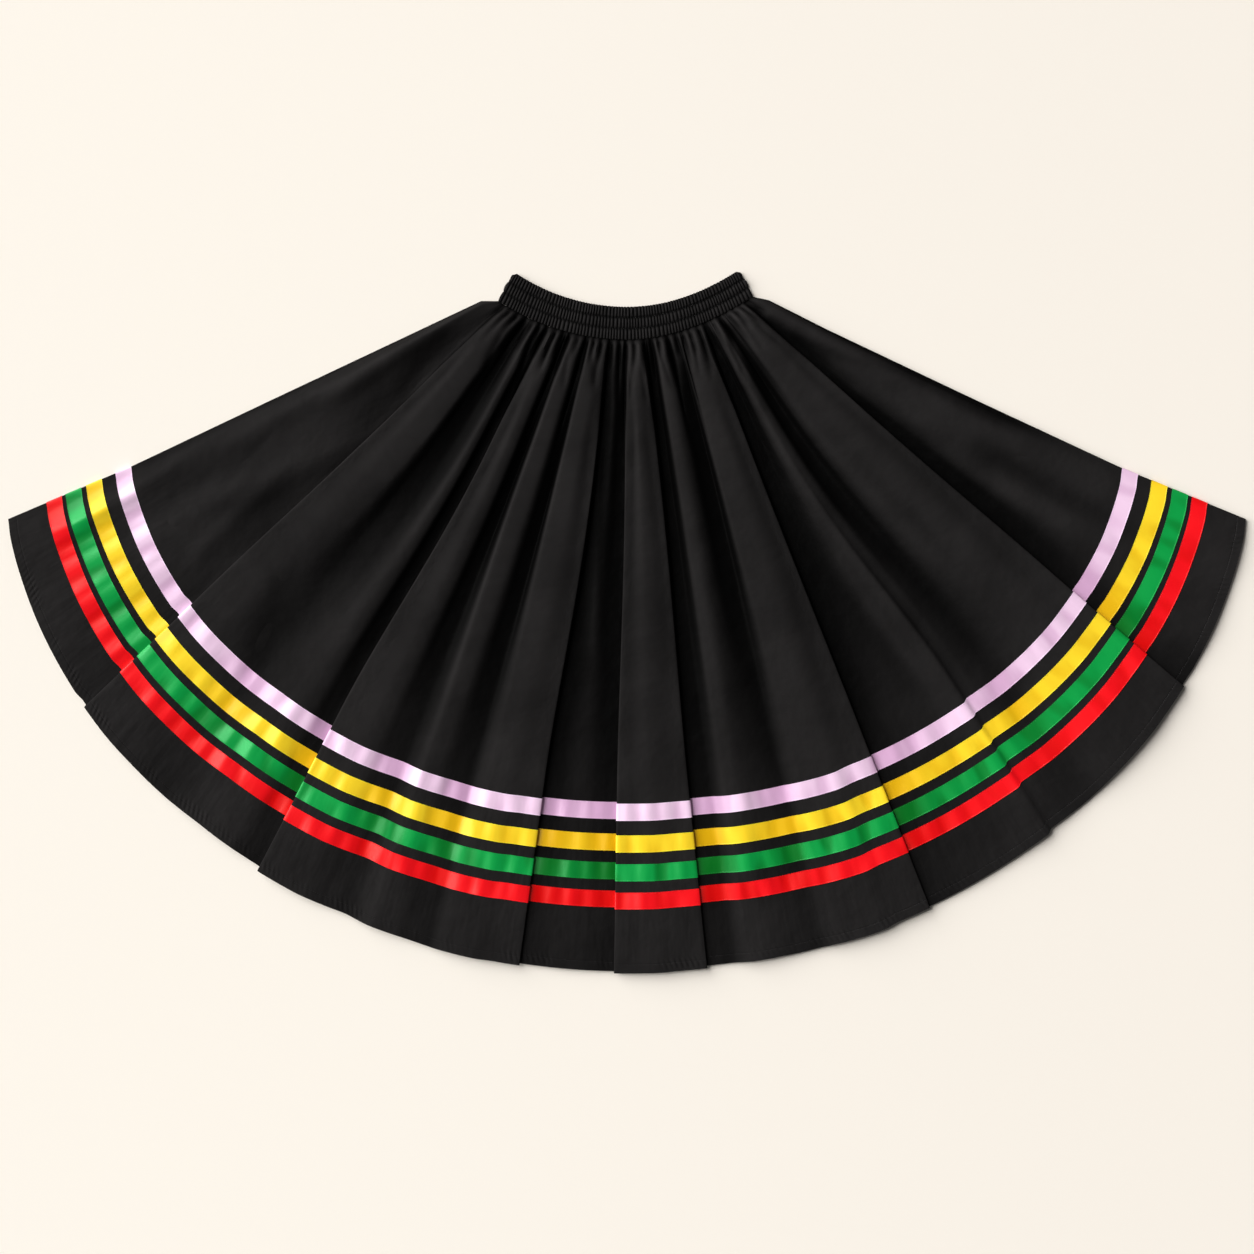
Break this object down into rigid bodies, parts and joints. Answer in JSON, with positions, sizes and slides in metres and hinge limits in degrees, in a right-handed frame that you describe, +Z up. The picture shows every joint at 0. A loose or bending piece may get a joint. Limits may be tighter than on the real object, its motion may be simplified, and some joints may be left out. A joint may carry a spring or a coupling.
{
  "type": "circle skirt",
  "caption": "Full circle skirt laid flat in a fan, gathered into a shirred elastic waistband, with rounds of satin ribbon sewn on above a narrow hem.",
  "frame": {"origin": "middle of the part's outline, on the table that it lies on", "axes": "+X to the right across the fan as seen from above, +Y towards the waistband, +Z up from the table"},
  "size_m": [1.5486, 0.8792, 0.0149],
  "materials": {
    "poplin": "black plain-weave cotton, matt",
    "lilac_satin": "pale lilac polyester satin",
    "yellow_satin": "golden yellow polyester satin",
    "green_satin": "emerald green polyester satin",
    "red_satin": "scarlet polyester satin"
  },
  "bodies": {
    "root": {"skirt_front": "poplin", "skirt_back": "poplin", "waistband": "poplin", "ribbon_lilac_front": "lilac_satin", "ribbon_lilac_back": "lilac_satin", "ribbon_yellow_front": "yellow_satin", "ribbon_yellow_back": "yellow_satin", "ribbon_green_front": "green_satin", "ribbon_green_back": "green_satin", "ribbon_red_front": "red_satin", "ribbon_red_back": "red_satin"}
  },
  "joints": []
}
